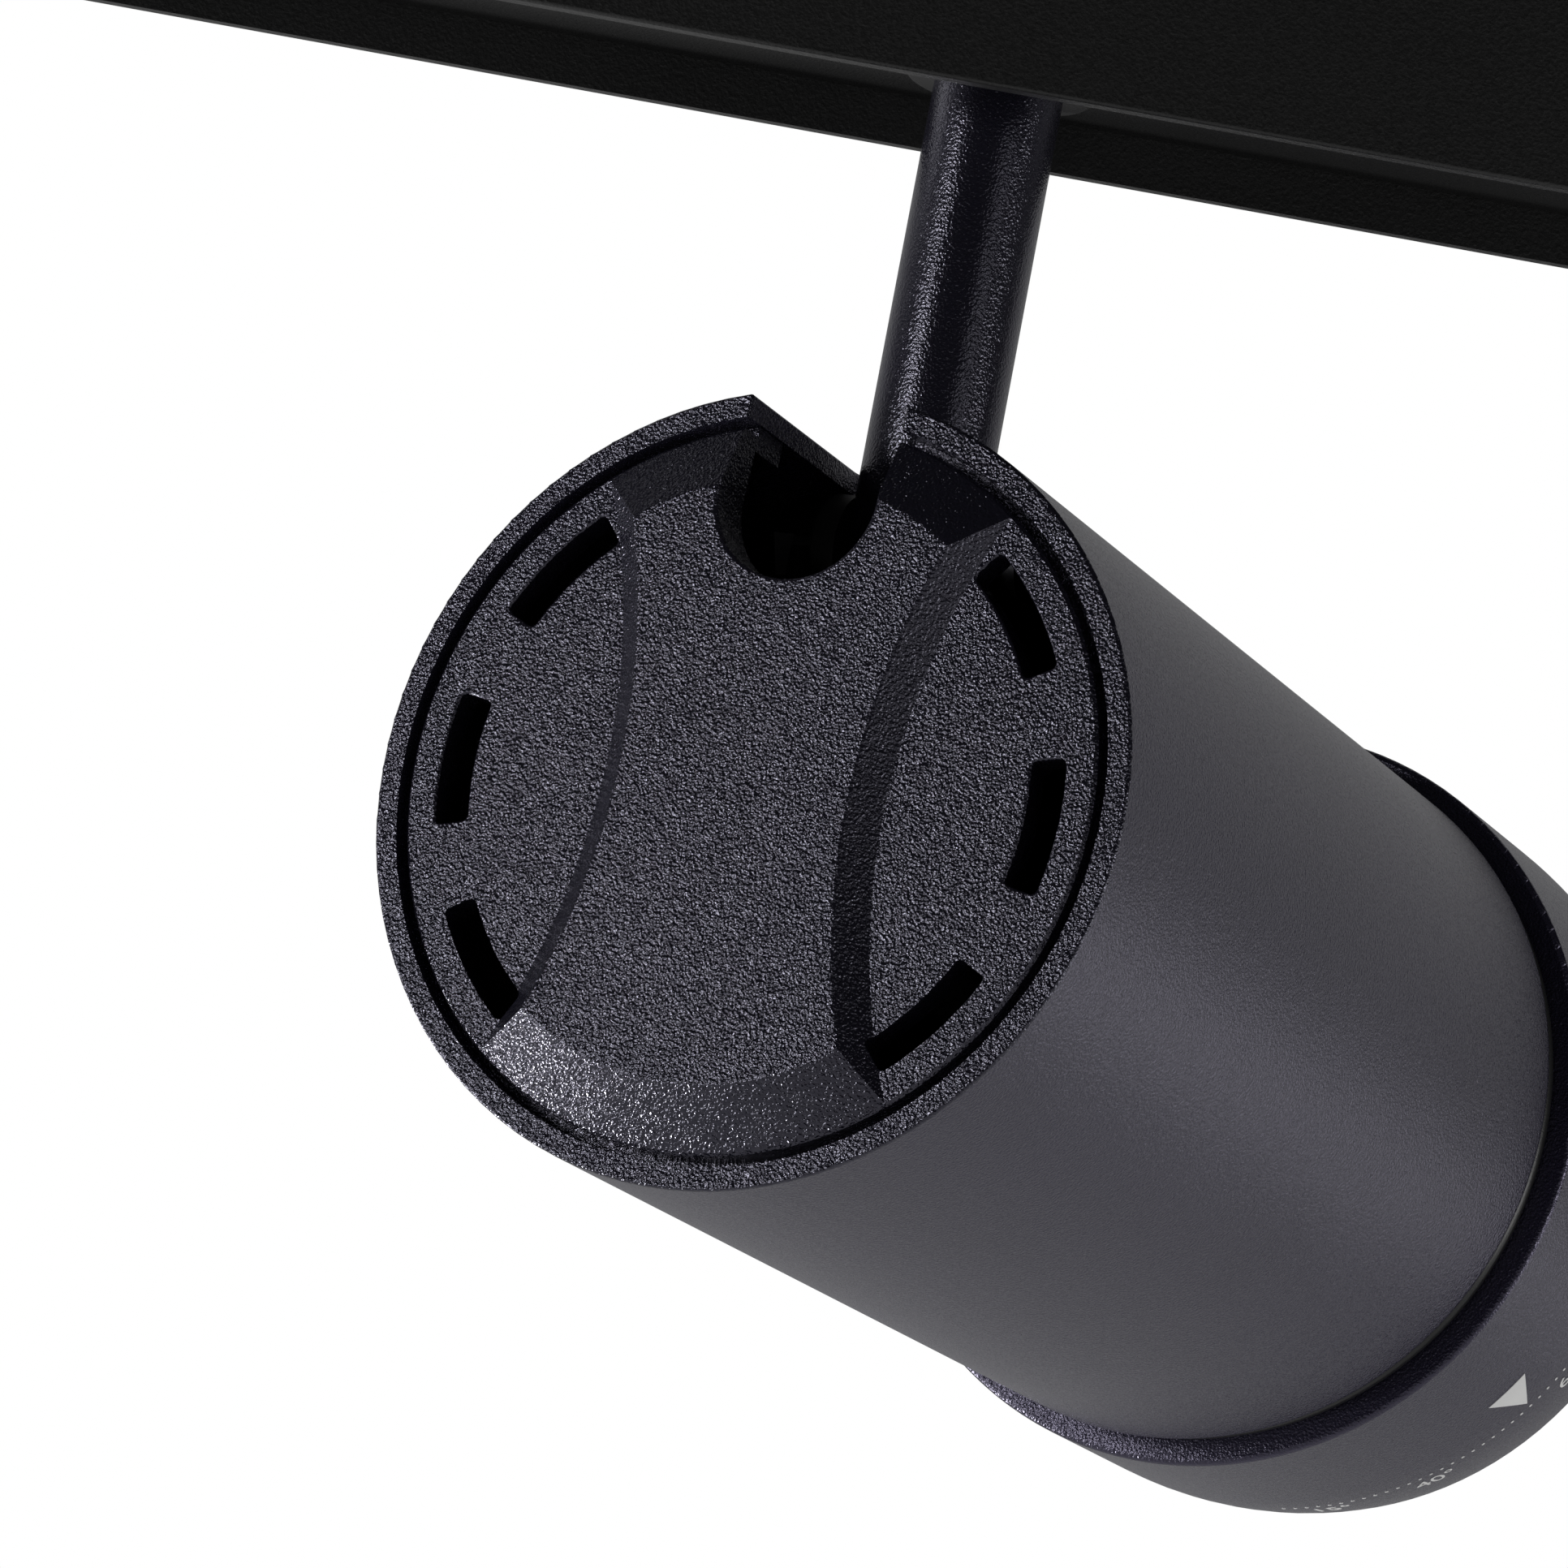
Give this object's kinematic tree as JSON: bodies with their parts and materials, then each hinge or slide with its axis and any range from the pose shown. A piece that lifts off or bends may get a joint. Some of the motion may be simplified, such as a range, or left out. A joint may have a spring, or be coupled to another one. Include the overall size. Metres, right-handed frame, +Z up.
{
  "type": "track spotlight",
  "caption": "Track lighting fixture: a slim driver box with a track adapter, and a cylindrical zoom spotlight that pans and tilts on a round stem.",
  "frame": {"origin": "centre of the plane that bears on the underside of the track, on the stem's axis", "axes": "+X along the driver box, +Z up into the track"},
  "size_m": [0.2236, 0.1726, 0.1781],
  "materials": {
    "housing_black": "fine powder coat",
    "head_grey": "fine textured powder coat",
    "collar_black": "satin anodised",
    "adapter_plastic": "moulded matt",
    "lever_plastic": "moulded matt",
    "copper": "bright",
    "steel": "zinc plated",
    "black_steel": "black oxide",
    "aluminium": "bare",
    "bright_aluminium": "polished",
    "circuit_green": "solder mask",
    "ferrite": "matt",
    "white_plastic": "moulded",
    "fibre_sheet": "matt",
    "phosphor": "matt",
    "nylon_bush": "moulded",
    "sink_black": "black anodised",
    "cable_sheath": "smooth",
    "clear_glass": "clear",
    "clear_lens": "clear"
  },
  "bodies": {
    "driver_box": {"box_housing": "housing_black", "underside_plate": "housing_black", "end_cap_left": "housing_black", "end_cap_right": "housing_black", "end_cap_screws": "black_steel", "plate_screws": "black_steel", "adapter_body": "adapter_plastic", "adapter_screws": "steel", "earth_contacts": "copper", "neutral_contact": "copper", "insulator_sheet": "fibre_sheet", "driver_pcb": "circuit_green", "transformer": "ferrite", "capacitors": "aluminium", "choke": "ferrite", "terminal_block": "white_plastic", "stem_bush": "nylon_bush", "stop_peg": "steel"},
    "lock_lever": {"lock_lever": "lever_plastic"},
    "phase_selector": {"phase_selector": "lever_plastic", "phase_contact": "copper"},
    "stem": {"stem": "head_grey", "stop_washer": "steel", "stem_nut": "steel", "stem_end": "head_grey", "stem_cable": "cable_sheath"},
    "head": {"head_tube": "head_grey", "rear_cap": "head_grey", "tilt_bracket": "black_steel", "bracket_screws": "steel", "pivot_bolt": "black_steel", "pivot_nut": "black_steel", "friction_washers": "nylon_bush", "heat_sink": "sink_black", "cap_standoffs": "steel", "led_board": "aluminium", "led_emitter": "phosphor", "led_holder": "white_plastic", "led_screws": "steel", "reflector": "bright_aluminium", "head_cable": "cable_sheath", "collar": "collar_black", "retaining_clip": "steel"},
    "zoom": {"zoom_ring": "head_grey", "front_glass": "clear_glass", "glare_baffle": "collar_black"},
    "lens_carriage": {"lens_carrier": "collar_black", "guide_pins": "steel", "lens": "clear_lens", "lens_clip": "steel"}
  },
  "joints": [
    {"name": "pan", "type": "hinge", "parent": "driver_box", "child": "stem", "pos_m": [0, 0, -0.06], "axis": [0, 0, 1], "range_deg": [-219.8, 90.2]},
    {"name": "tilt", "type": "hinge", "parent": "stem", "child": "head", "pos_m": [0, 0, -0.085], "axis": [-0.9048, 0.4258, 0], "range_deg": [-3.6, 86.4]},
    {"name": "zoom", "type": "hinge", "parent": "head", "child": "zoom", "pos_m": [-0.01042, -0.02214, -0.11232], "axis": [0.4249, 0.903, -0.0628], "range_deg": [-60, 60]},
    {"name": "lens_travel", "type": "slide", "parent": "head", "child": "lens_carriage", "axis": [0.4249, 0.903, -0.0628], "range_m": [-0.005, 0.005]},
    {"name": "track_lock", "type": "hinge", "parent": "driver_box", "child": "lock_lever", "pos_m": [0.038, 0, 0], "axis": [0, 0, 1], "range_deg": [0, 90]},
    {"name": "circuit_choice", "type": "hinge", "parent": "driver_box", "child": "phase_selector", "pos_m": [-0.038, 0, 0], "axis": [0, 0, 1], "range_deg": [-90, 0]}
  ],
  "couplings": [
    {"joint": "lens_travel", "follows": "zoom", "m_per_rad": 0.00477}
  ]
}
